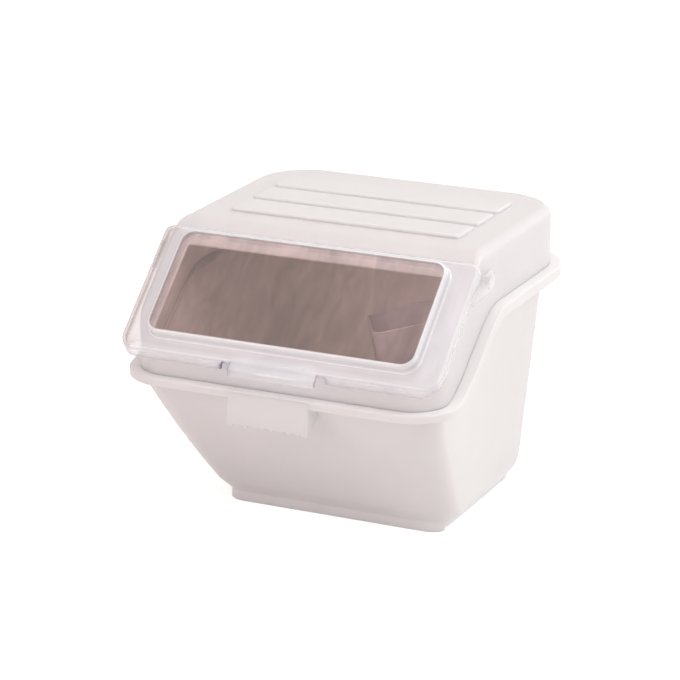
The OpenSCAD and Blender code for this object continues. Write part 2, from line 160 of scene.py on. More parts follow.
@dataclass(frozen=True)
class MouldedPolyethylene:
    """White polyethylene out of a polished mould: satin, with a faint flow mottle and a fine skin.

    Light goes some way into it, so that the walls glow a little on their inside. The mesh attribute
    inner is 1 on the inside, where a warmer white is painted as shade inside the bin, and 0 outside.
    """

    name: str = "moulded white polyethylene"
    light: str = "#F3F4F4"
    shade: str = "#EDEDED"
    # The inside's white is painted shade: warmer and a little darker, for the shade inside the bin.
    painted_inside_shade: str = "#F4E9E5"
    ior: float = 1.51
    roughness: Pair = (0.36, 0.46)
    mottle_mm: float = 46.0
    # The skin's grain is finer on the real moulding, and is drawn as coarse as it needs to show.
    skin_mm: float = 1.6
    skin_depth_mm: float = 0.02
    skin_strength: float = 0.25
    # The share of light that goes in, and how far its red, green and blue go.
    milk: float = 0.8
    milk_mm: Triple = (7.0, 6.6, 6.4)

    def build(self) -> Material:
        """Builds the material: two close whites mixed by a soft mottle, with a fine grain in the skin.

        Returns:
            The material.
        """
        material, tree = blank_material(self.name)
        place = {"Vector": add_node(tree, "TexCoord").outputs["Object"]}
        mottle = add_node(tree, "TexNoise", {"Scale": 1 / (self.mottle_mm * MM), "Detail": 3.0}, place)
        skin = add_node(tree, "TexNoise", {"Scale": 1 / (self.skin_mm * MM), "Detail": 2.0}, place)
        tint = add_node(tree, "Mix", {6: linear(self.shade), 7: linear(self.light)}, {0: mottle},
                        data_type="RGBA")
        # The inside gets the warmer white of the painted shade.
        inner = add_node(tree, "Attribute", attribute_name="inner").outputs["Fac"]
        colour = add_node(tree, "Mix", {7: linear(self.painted_inside_shade)}, {0: inner, 6: tint.outputs[2]},
                          data_type="RGBA")
        bump = add_node(tree, "Bump", {"Strength": self.skin_strength, "Distance": self.skin_depth_mm * MM},
                        {"Height": skin})
        low, high = self.roughness
        rough = add_node(tree, "MapRange", {"To Min": low, "To Max": high}, {"Value": mottle})
        shader = add_node(tree, "BsdfPrincipled",
                          {"IOR": self.ior, "Subsurface Weight": self.milk,
                           "Subsurface Radius": self.milk_mm, "Subsurface Scale": MM},
                          {"Base Color": colour.outputs[2], "Roughness": rough, "Normal": bump})
        add_node(tree, "OutputMaterial", None, {"Surface": shader})
        return material


class Look(Enum):
    """The stretches of the clear pieces, from the smoky pane to the painted bright rounds and painted dark
    cut edges.

    Each has its veil, which is how milky it is, from 0, clear, to 1, opaque, and its tint, which is what
    one skin lets through. The small veils of the pane and ears are the plastic's own milkiness; the
    higher veils of the rounds, walls, feet, flange, edge, skirt and scoop are painted highlight, a milky
    white that stands in for the glints and reflections of clear plastic. The smoky left edge, the cuts
    and the lines are painted shade.
    """

    PANE = (0.05, "#FAF3F1")
    # Painted highlight: the high veils of the window's round, wall and foot stand in for the glints along
    # the bead.
    ROUND = (0.97, "#F6F4F6")
    WALL = (0.82, "#F4F2F4")
    FOOT = (0.65, "#F4F2F4")
    # Painted highlight: the flange, its shelf, edge and skirt are veiled white for the sheen and glints
    # along them.
    FLANGE = (0.6, "#FDFCFC")
    SHELF = (0.7, "#FDFCFC")
    # Painted shade: a darker, smoky tint on the flange's left edge only, for the shade on the side away
    # from the light.
    SMOKE = (0.22, "#E3DCDA")
    EDGE = (0.85, "#FAF9FB")
    SKIRT = (0.35, "#FCFAFA")
    # Painted shade: the dark tint of the cut ends and the faint line along the skirt's lower edge stand in
    # for the shade seen there.
    CUT = (0.05, "#A79DBB")
    LINE = (0.3, "#E0DCE6")
    BENEATH = (0.0, "#FDFCFC")
    EAR = (0.16, "#FBFAFA")
    # Painted highlight: the scoop's veils, highest in its hollow and along its lip, stand in for its
    # reflections and the glow along its rim.
    BOWL = (0.7, "#FAF6F6")
    HOLLOW = (0.97, "#FAF6F6")
    LIP = (0.85, "#F4EFF0")

    def numbers(self) -> Array:
        """The look's veil and its tint in linear light."""
        veil, tint = self.value
        return np.array([veil, *linear(tint)])


Marks = tuple[tuple[Look, NDArray[np.bool_]], ...]


@dataclass(frozen=True)
class MouldedClear:
    """Clear moulded styrene: see-through and faintly smoky on its flats, with a painted milky highlight
    along its rounds.

    The mesh attributes veil and tint give each place's milkiness and what it lets through. Along the
    rounds and edges the milky white is painted highlight, standing in for the glints and reflections
    of clear plastic.
    """

    name: str = "moulded clear styrene"
    tone: str = "#F1F5F8"
    ior: float = 1.57
    roughness: float = 0.12
    # Painted reflection streaks: their lengths along X, Y and Z, and how much less or more light they let
    # through.
    reflection_streak_mm: Triple = (20.0, 70.0, 70.0)
    reflection_streak: Pair = (0.86, 1.12)
    # The part of the milkiness that counts in shadows, because most light goes on through it.
    shade: float = 0.04
    # The share of gloss where the skin is seen straight on and where it is seen edge on.
    gloss: Pair = (0.03, 0.6)
    gloss_power: float = 4.0

    def build(self) -> Material:
        """Builds the material: a tinted clear skin with painted reflection streaks, milky by its veil,
        under a gloss.

        Returns:
            The material.
        """
        material, tree = blank_material(self.name)
        place = add_node(tree, "TexCoord").outputs["Object"]
        across = [1 / (length * MM) for length in self.reflection_streak_mm]
        drawn = add_node(tree, "VectorMath", {1: across}, {0: place}, operation="MULTIPLY")
        # Painted reflection: a stretched noise that lets a little less or more light through, for the wavy
        # reflections on the pane.
        flow = add_node(tree, "TexNoise", {"Scale": 1.0, "Detail": 3.0, "Distortion": 1.5},
                        {"Vector": drawn})
        low, high = self.reflection_streak
        drift = add_node(tree, "MapRange", {"To Min": low, "To Max": high}, {"Value": flow})
        tint = add_node(tree, "Attribute", attribute_name="tint").outputs["Color"]
        passed = add_node(tree, "VectorMath", None, {"Vector": tint, "Scale": drift}, operation="SCALE")
        clear = add_node(tree, "BsdfTransparent", None, {"Color": passed})
        # The milky skin draws the veil: the plastic's own milkiness on the flats, painted highlight along
        # the rounds and edges.
        milky = add_node(tree, "BsdfPrincipled",
                         {"Base Color": linear(self.tone), "Roughness": self.roughness, "IOR": self.ior})
        shadow = add_node(tree, "LightPath").outputs["Is Shadow Ray"]
        part = add_node(tree, "MapRange", {"To Min": 1.0, "To Max": self.shade}, {"Value": shadow})
        veil = add_node(tree, "Attribute", attribute_name="veil").outputs["Fac"]
        seen_veil = add_node(tree, "Math", None, {0: veil, 1: part}, operation="MULTIPLY")
        body = add_node(tree, "MixShader", None, {0: seen_veil, 1: clear, 2: milky})
        facing = add_node(tree, "LayerWeight", {"Blend": 0.5}).outputs["Facing"]
        steep = add_node(tree, "Math", {1: self.gloss_power}, {0: facing}, operation="POWER")
        least, most = self.gloss
        shine = add_node(tree, "MapRange", {"To Min": least, "To Max": most}, {"Value": steep})
        gloss = add_node(tree, "BsdfGlossy", {"Roughness": self.roughness})
        both = add_node(tree, "MixShader", None, {0: shine, 1: body, 2: gloss})
        add_node(tree, "OutputMaterial", None, {"Surface": both})
        return material


@dataclass(frozen=True)
class StudioFloor:
    """A pale matt sweep: bright to the camera, with the object's soft shadow on it."""

    name: str = "pale studio sweep"
    tone: str = "#F4F3F2"
    lift: float = 0.62

    def build(self) -> Material:
        """Builds the material: a matt tone, with a lift that only looking rays see.

        Returns:
            The material.
        """
        material, tree = blank_material(self.name)
        power = add_node(tree, "Math", {1: self.lift}, {0: looking_rays(tree)}, operation="MULTIPLY")
        matt = add_node(tree, "BsdfDiffuse", {"Color": linear(self.tone)})
        glow = add_node(tree, "Emission", {"Color": linear(PURE_WHITE)}, {"Strength": power})
        both = add_node(tree, "AddShader", None, {0: matt, 1: glow})
        add_node(tree, "OutputMaterial", None, {"Surface": both})
        return material


def lerp(a: Array | float, b: Array | float, t: Array | float) -> Array:
    """Straight mix of a and b: a at t 0 and b at t 1."""
    return a + np.subtract(b, a) * t


def smooth(t: Array | float) -> Array:
    """Smooth step from 0 to 1 with level ends: 3 t squared less 2 t cubed."""
    t = np.clip(t, 0, 1)
    return t * t * (3 - 2 * t)


def quarter_round(points: int) -> tuple[Array, Array]:
    """A quarter circle's points: one less the cosine, which grows to 1, and one less the sine."""
    turn = np.linspace(0, math.pi / 2, points)
    return 1 - np.cos(turn), 1 - np.sin(turn)


class Plan(NamedTuple):
    """A rounded rectangle about X 0, seen from above: half its width, its front and back and its radii."""

    half: float
    front: float
    back: float
    front_r: float
    back_r: float


def inside(shapes: Array | Plan, e: Array | float) -> Array:
    """Draws plan shapes in by e: the sides move in and the radii shrink, with one row for each e."""
    return np.asarray(shapes) + np.multiply.outer(e, [-1.0, 1.0, -1.0, -1.0, -1.0])


@dataclass(frozen=True)
class Steps:
    """How many points a plan loop has along each kind of stretch, and its front points' shares."""

    side: int = 70
    corner: int = 18
    back: int = 30
    front: tuple[float, ...] = tuple(np.arange(1, 41) / 41)


def plan_loops(shapes: Array | Plan, steps: Steps = Steps()) -> Array:
    """Rounded rectangles whose points match from one to the next.

    Each loop runs up the right side, round the back, down the left side and along the front: straight
    stretches are even mixes of their ends, and each corner is a quarter circle about its centre.

    Args:
        shapes: one plan shape a row.
        steps: points along each stretch.

    Returns:
        Points as loops by points by two.
    """
    hw, y0, y1, r0, r1 = (np.atleast_2d(shapes)[:, k:k + 1] for k in range(5))
    f = np.arange(1, steps.side + 1) / (steps.side + 1)
    b = np.arange(1, steps.back + 1) / (steps.back + 1)
    g = np.array(steps.front)
    a = np.linspace(0, math.pi / 2, steps.corner + 1)
    c, s = np.cos(a), np.sin(a)
    x = [hw + 0 * f, hw - r1 + r1 * c, lerp(hw - r1, r1 - hw, b), r1 - hw - r1 * s,
         0 * f - hw, r0 - hw - r0 * c, lerp(r0 - hw, hw - r0, g), hw - r0 + r0 * s]
    y = [lerp(y0 + r0, y1 - r1, f), y1 - r1 + r1 * s, y1 + 0 * b, y1 - r1 + r1 * c,
         lerp(y1 - r1, y0 + r0, f), y0 + r0 - r0 * s, y0 + 0 * g, y0 + r0 - r0 * c]
    return np.stack([np.concatenate(x, 1), np.concatenate(y, 1)], 2)


def raised(flat: Array, third: Array | float) -> Array:
    """Adds a third coordinate, one for all points, one a row or one a point, to points in two axes."""
    return np.concatenate([flat, np.broadcast_to(third, flat.shape[:-1])[..., None]], -1)


def level_loops(shape: Plan, insets: Array, heights: Array, steps: Steps = Steps()) -> Array:
    """Loops of a plan shape, each drawn in by its inset and level at its height."""
    return raised(plan_loops(inside(shape, insets), steps), heights[:, None])


def carried(x: Array, sections: Array) -> Array:
    """Stands a section in Y and Z, the same one or one a row, at each place along X."""
    yz = np.broadcast_to(sections, (len(x),) + sections.shape[-2:])
    return np.concatenate([np.broadcast_to(x[:, None, None], yz.shape[:2] + (1,)), yz], 2)


class End(Enum):
    """How the first and last rows of a surface end."""

    FAN = "fan"
    WRAP = "wrap"


def look_rows(*runs: tuple[Look, int]) -> list[Look]:
    """Spells out runs of looks as one look a row."""
    return [look for look, count in runs for _ in range(count)]


def linked(name: str, data: bpy.types.ID) -> Object:
    """Makes an object at the origin and links it into the scene.

    Args:
        name: name of the object.
        data: its mesh, lamp or camera.

    Returns:
        The new object.
    """
    obj = bpy.data.objects.new(name, data)
    bpy.context.scene.collection.objects.link(obj)
    return obj


def grid_object(name: str, rows: Array, ends: End, looks: list[Look] | None = None,
                marks: Marks = ()) -> Object:
    """Makes a closed mesh from rows of matching points, each row a closed loop.

    Neighbouring rows are joined by four-sided faces. A fan closes the first and last row to the middle
    of the row, and a wrap joins the last row to the first. The faces are turned outwards by the sign of
    the volume that they enclose.

    Args:
        name: name of the object.
        rows: points in millimetres, as rows by points by three.
        ends: how the rows end.
        looks: look of each row of a clear piece.
        marks: other looks, each with the points that have it, as rows by points.

    Returns:
        The new object, linked into the scene.
    """
    m, n = rows.shape[:2]
    points = rows.reshape(-1, 3)
    index = np.arange(m * n).reshape(m, n)
    low = index if ends is End.WRAP else index[:-1]
    high = np.roll(index, -1, 0) if ends is End.WRAP else index[1:]
    quads = np.stack([low, np.roll(low, -1, 1), np.roll(high, -1, 1), high], 2).reshape(-1, 4)
    fans = np.zeros((0, 3), int)
    if ends is End.FAN:
        first = np.stack([np.roll(index[0], -1), index[0], np.full(n, m * n)], 1)
        last = np.stack([index[-1], np.roll(index[-1], -1), np.full(n, m * n + 1)], 1)
        fans = np.concatenate([first, last])
        points = np.concatenate([points, rows[[0, -1]].mean(1)])
    corners = np.concatenate([quads[:, [0, 1, 2]], quads[:, [0, 2, 3]], fans])
    tri = points[corners] - points.mean(0)
    if np.einsum("ij,ij->i", tri[:, 0], np.cross(tri[:, 1], tri[:, 2])).sum() < 0:
        quads, fans = quads[:, ::-1], fans[:, ::-1]
    mesh = bpy.data.meshes.new(name)
    mesh.from_pydata((points * MM).tolist(), [], quads.tolist() + fans.tolist())
    mesh.polygons.foreach_set("use_smooth", np.ones(len(mesh.polygons), bool))
    mesh.set_sharp_from_angle(angle=SHARP_ANGLE)
    if looks is not None:
        set_looks(mesh, looks, n, marks)
    mesh.update()
    return linked(name, mesh)


def set_looks(mesh: Mesh, looks: list[Look], count: int, marks: Marks) -> None:
    """Stores the veil and tint of a clear piece's points as mesh attributes.

    Args:
        mesh: the mesh, whose points are rows of count points and then the middles of its fans.
        looks: look of each row.
        count: points in a row.
        marks: other looks, each with the points that have it, as rows by points.
    """
    table = np.array([look.numbers() for look in looks])
    points = np.repeat(table, count, 0)
    for look, mask in marks:
        points[mask.reshape(-1)] = look.numbers()
    ends = table[[0, -1]][:len(mesh.vertices) - len(points)]
    points = np.concatenate([points, ends]).astype(np.float32)
    veil = mesh.attributes.new("veil", "FLOAT", "POINT")
    veil.data.foreach_set("value", points[:, 0].copy())
    tint = mesh.attributes.new("tint", "FLOAT_COLOR", "POINT")
    tint.data.foreach_set("color", points[:, 1:].reshape(-1).copy())


def set_inner(mesh: Mesh, start: int, stop: int, count: int) -> None:
    """Marks a run of a shell's rows as its inside, in the mesh attribute inner, which the white finish
    paints as shade.

    Args:
        mesh: the mesh, whose points are rows of count points and then the middles of its fans.
        start: first row of the inside.
        stop: the row after the last one.
        count: points in a row.
    """
    inner = np.zeros(len(mesh.vertices), np.float32)
    inner[start * count:stop * count] = 1.0
    mesh.attributes.new("inner", "FLOAT", "POINT").data.foreach_set("value", inner)


def extruded(name: str, outline: Array, ends: Pair, edge: float,
             looks: list[Look] | None = None) -> Object:
    """Carries an outline in Y and Z along X, with its end edges drawn in by a small chamfer.

    Each row is the outline shrunk about its middle: by the chamfer at both ends and not between.

    Args:
        name: name of the object.
        outline: points in Y and Z, in order round the outline.
        ends: where it ends in X, in either order.
        edge: chamfer of the end edges.
        looks: looks of the four rows of a clear piece.

    Returns:
        The new object.
    """
    x0, x1 = sorted(ends)
    x = np.array([x0, x0 + edge, x1 - edge, x1])
    middle = outline.mean(0)
    size = np.ptp(outline, 0).min() / 2
    shrink = np.array([1 - edge / size, 1, 1, 1 - edge / size])[:, None, None]
    return grid_object(name, carried(x, middle + (outline - middle) * shrink), End.FAN, looks)


def rounded_outline(corners: Array, radius: Array, steps: int = 6) -> Array:
    """Rounds the corners of a convex or bent outline with short quadratic curves.

    At each corner the curve starts and ends a radius away along both edges and bends to the corner.

    Args:
        corners: points in order.
        radius: distance from each corner at which its curve starts.
        steps: spans in each curve.

    Returns:
        The points of the rounded outline.
    """
    before = np.roll(corners, 1, 0) - corners
    after = np.roll(corners, -1, 0) - corners
    start = corners + before / np.linalg.norm(before, axis=1, keepdims=True) * radius[:, None]
    stop = corners + after / np.linalg.norm(after, axis=1, keepdims=True) * radius[:, None]
    t = np.linspace(0, 1, steps + 1)[None, :, None]
    curve = (1 - t) ** 2 * start[:, None] + 2 * t * (1 - t) * corners[:, None] + t * t * stop[:, None]
    return curve.reshape(-1, 2)


def dress(obj: Object, material: Material, body: Body, slot: Slot, *nodes: str) -> None:
    """Gives a piece its finish and its body, and hides the CAD nodes that it stands for.

    Args:
        obj: the piece.
        material: its finish.
        body: the body that it rides on.
        slot: the record's slot for the finish, not used.
        nodes: CAD nodes that the piece stands for.
    """
    obj.data.materials.append(material)
    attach(obj, body.value)
    if nodes:
        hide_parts(*nodes)
    LOG.info("%s: %d faces on %s", obj.name, len(obj.data.polygons), body.value)


@dataclass
class Tub:
    """The tapered tub with its stepped rim, base band, feet and pull flap."""

    rim: Plan = Plan(168.0, -173.75, 177.25, 48.0, 68.0)
    mouth: Plan = Plan(154.0, -164.25, 154.25, 31.0, 56.0)
    swell: Plan = Plan(126.5, -45.35, 143.25, 29.0, 29.0)
    base: Plan = Plan(116.5, -43.75, 133.25, 19.0, 19.0)
    # The ledge's heights at the front and the back, and the start and length of its climb.
    front_z: float = 163.0
    back_z: float = 230.0
    step_start: float = 35.0
    step_run: float = 125.0
    # The rim's thickness, and its skirt's end, start, edge and how much further it hangs at the back.
    flange: float = 3.0
    skirt: float = 8.0
    skirt_start: float = 5.0
    skirt_edge: float = 0.7
    skirt_more: float = 3.4
    edge_r: float = 1.3
    # The upstand that the hood sits behind: its faces, measured from the rim, its height and edges.
    upstand_in: Pair = (14.5, 16.7)
    upstand_h: float = 4.0
    upstand_edge: Pair = (0.5, 0.6)
    # The wall's thickness, its lower end, its bow at the front and the share that tucks in.
    wall: float = 3.2
    wall_z: float = 10.5
    bow: float = 5.7
    tuck_share: float = 0.1
    # The floor and its corner, the band's upper edge and how far in the rows end.
    floor_t: float = 3.5
    floor_corner: Pair = (4.0, 2.5)
    band_z: float = 9.0
    middle_in: float = 16.0
    # The feet: height, depth and edges, and the back one's root, half width and front.
    foot_h: float = 4.0
    foot_d: float = 10.0
    foot_edge: float = 0.4
    base_edge: float = 0.3
    foot_sink: float = 1.0
    back_foot: Pair = (75.0, 101.25)
    # The flap: half width, middle, heights of its lower edge, knee and upper edge, and lean.
    flap_hw: float = 41.0
    flap_x: float = -4.0
    flap_z: Triple = (129.5, 155.0, 160.4)
    flap_lean: float = 3.5
    # Its gaps: pitch and half width, place and half width of the end ones, sides and height.
    gap: Pair = (8.85, 3.05)
    end_gap: Pair = (33.5, 1.2)
    gap_side: float = 0.5
    tooth_h: float = 1.8
    # The cheeks: thickness, place in from the flap's ends, and outline from rim front and flap foot.
    cheek_t: float = 3.0
    cheek_in: float = 0.3
    cheek_outline: Points = (
        (-1.8, 2.2), (23.85, 11.2), (11.75, 31.5), (1.5, 31.5), (1.5, 26.5))

    def rim_z(self, y: Array) -> Array:
        """Height of the ledge: level at the front, a smooth climb along the sides, level at the back."""
        climb = smooth((y - self.rim.front - self.step_start) / self.step_run)
        return self.front_z + (self.back_z - self.front_z) * climb

    def rim_rows(self, insets: Array, drops: Array) -> Array:
        """Loops round the rim, each drawn in from its edge and raised from its ledge.

        The skirt hangs a little further down where the rim climbs to the back.

        Args:
            insets: distance in from the rim's edge for each loop.
            drops: height of each loop over the ledge.

        Returns:
            Rows of points.
        """
        xy = plan_loops(inside(self.rim, insets))
        ledge = self.rim_z(xy[:, :, 1])
        climb = (ledge - self.front_z) / (self.back_z - self.front_z)
        on_skirt = (drops <= -self.skirt_start)[:, None]
        return raised(xy, ledge + drops[:, None] - self.skirt_more * climb * on_skirt)

    def wall_rows(self, shares: Array, inset: float) -> Array:
        """Loops of the wall at shares of its height.

        Each loop mixes the swollen base with the mouth, bows out at the front by four times the bow times
        t times one less t, and tucks in to the base on a quarter ellipse over its lowest stretch.

        Args:
            shares: share of the wall's height for each loop.
            inset: distance in from the wall's outer face.

        Returns:
            Rows of points.
        """
        t = shares[:, None]
        tuck = 1 - np.sqrt(1 - np.clip(1 - t / self.tuck_share, 0, 1) ** 2)
        shapes = lerp(lerp(self.swell, self.mouth, t), self.base, tuck)
        shapes[:, 1] -= self.bow * 4 * shares * (1 - shares)
        top = self.rim_z(plan_loops(self.mouth)[0, :, 1]) - self.flange
        return raised(plan_loops(inside(shapes, inset)), lerp(self.wall_z, top, t))

    def ledge_rows(self) -> Array:
        """Rows of the inner lip and the upstand: up its inner face, over its top and down its outer face.

        At the back the first two rows lie a flange higher, so that no face of the shell lies on another.

        Returns:
            Rows of points.
        """
        out, inner = self.upstand_in
        edge_in, edge_down = self.upstand_edge
        rise = self.upstand_h
        lip = self.wall_rows(np.array([1.0]), self.wall)
        insets = np.array([inner, inner, inner - edge_in, out + edge_in, out, out])
        drops = np.array([-self.flange, rise - edge_down, rise, rise, rise - edge_down, 0.0])
        rows = np.concatenate([lip, self.rim_rows(insets, drops)])
        at_back = lip[0, :, 1] > 0
        rows[:2, at_back, 2] += self.flange
        return rows

    def base_rows(self) -> Array:
        """Loops of the band, the front foot and the base between the feet.

        The foot is the stretch of each loop at the front, where the loops go down to the ground and up
        again a foot's depth further in.

        Returns:
            Rows of points.
        """
        high, edge = self.foot_h, self.foot_edge
        insets = np.array([0.0, 0.0, edge, self.foot_d - edge, self.foot_d, self.middle_in])
        plain = np.array([self.band_z, high + self.base_edge, high, high, high, high])
        foot = np.array([self.band_z, edge, 0.0, 0.0, high, high])
        xy = plan_loops(inside(self.base, insets))
        at_front = xy[0, :, 1] < self.base.front + self.foot_d
        return raised(xy, np.where(at_front, foot[:, None], plain[:, None]))

    def shell(self) -> Object:
        """Builds the tub from its floor up the inside, over the rim, down the wall and under the base.

        Returns:
            The tub without its back foot and flap.
        """
        grow, fade = quarter_round(6)
        corner_in, corner_up = self.floor_corner
        floor_in = np.array([self.middle_in, self.wall + corner_in, self.wall])
        floor_z = self.wall_z + self.floor_t + np.array([0.0, 0.0, corner_up])
        skirt_in = [0.0, 0.0, self.skirt_edge, self.flange, self.flange]
        skirt_z = [-self.skirt_start, self.skirt_edge - self.skirt, -self.skirt, -self.skirt, -self.flange]
        tuck = self.tuck_share * (1 - np.sin(np.linspace(0.05, math.pi / 2, 12)))
        rows = [
            level_loops(self.base, floor_in, floor_z),
            self.wall_rows(np.r_[0.06, 0.1, np.linspace(0.16, 0.98, 16)], self.wall),
            self.ledge_rows(),
            self.rim_rows(np.r_[self.edge_r * fade, skirt_in], np.r_[-self.edge_r * grow, skirt_z]),
            self.wall_rows(np.r_[np.linspace(1, 0.13, 30), tuck], 0.0),
            self.base_rows(),
        ]
        obj = grid_object("tub_shell", np.concatenate(rows), End.FAN)
        rows_to_upstand_top = 5
        set_inner(obj.data, 0, len(rows[0]) + len(rows[1]) + rows_to_upstand_top, rows[0].shape[1])
        return obj

    def rear_foot(self) -> Object:
        """Builds the plain bar of the back foot.

        Returns:
            The foot.
        """
        half, front = self.back_foot
        back, high = front + self.foot_d, self.foot_h + self.foot_sink
        box = np.array([[front, high], [front, 0], [back, 0], [back, high]])
        outline = rounded_outline(box, np.array([0.2, 0.7, 0.7, 0.2]))
        return extruded("back_foot", outline, (-half, half), 0.6)

    def flap(self) -> Object:
        """Builds the pull flap: a leaning plate along X whose lower edge has square teeth.

        The lower edge has seven wide gaps with steep sides and a short one at each end, and the section
        is a closed loop down the front, round the lower edge and up the back. It starts flush on the
        rim's front and leans out below the rim.

        Returns:
            The flap.
        """
        x = np.linspace(-self.flap_hw, self.flap_hw, 330)
        pitch, wide = self.gap
        end_place, narrow = self.end_gap
        middles = np.r_[np.arange(-3, 4) * pitch, -end_place, end_place]
        halves = np.array([wide] * 7 + [narrow] * 2)
        past = (np.abs(x[:, None] - middles) - halves).min(1)
        gap = np.clip(0.5 - past / self.gap_side, 0, 1)
        low, knee, top = self.flap_z
        edge = (low + self.tooth_h * gap)[:, None]
        down = np.array([0.0, 0.5, 0.97, 1.0, 1.0, 0.97, 0.5, 0.0])
        depth = np.array([-0.05, -0.05, -0.05, 0.0, 0.5, 2.5, 3.0, 3.0, 2.6, 2.6])
        upper = np.full((len(x), 1), top)
        z = np.concatenate([upper, lerp(knee, edge, down), upper], 1)
        lean = self.flap_lean * np.clip((knee - z) / (knee - low), 0, 1)
        sections = np.stack([self.rim.front - lean + depth, z], 2)
        return grid_object("pull_flap", carried(self.flap_x + x, sections), End.FAN)

    def cheek(self, side: Side) -> Object:
        """Builds the cheek between the flap and the tub's wall on one side.

        Args:
            side: which side.

        Returns:
            The cheek.
        """
        corners = np.array([self.rim.front, self.flap_z[0]]) + np.array(self.cheek_outline)
        outline = rounded_outline(corners, np.full(len(corners), 0.4), 2)
        outer = self.flap_x + side.value * (self.flap_hw - self.cheek_in)
        return extruded(side.label("flap_cheek"), outline, (outer, outer - side.value * self.cheek_t), 0.3)

    def build(self, white: Material, dense: Material) -> None:
        """Builds and dresses the tub in white, and its flap and cheeks in dense white.

        Args:
            white: finish of the tub.
            dense: finish of the flap and its cheeks.
        """
        dress(self.shell(), white, Body.BIN, Slot.WHITE, "tub")
        dress(self.rear_foot(), white, Body.BIN, Slot.WHITE)
        for piece in (self.flap(), self.cheek(Side.LEFT), self.cheek(Side.RIGHT)):
            dress(piece, dense, Body.BIN, Slot.WHITE)


@dataclass
class Slope:
    """The sloping front frame's own axes: X across, s up the slope and n out of it."""

    front: float = -162.75
    sill: float = 190.0
    angle: float = math.radians(42)

    def profile(self, sn: Array) -> Array:
        """Carries points in s and n to Y and Z: a turn by the slope's angle about the sill's front."""
        c, s = math.cos(self.angle), math.sin(self.angle)
        return np.array([self.front, self.sill]) + sn @ np.array([[c, s], [-s, c]])

    def world(self, xsn: Array) -> Array:
        """Carries points in X, s and n to the frame's axes."""
        return np.concatenate([xsn[..., :1], self.profile(xsn[..., 1:])], -1)


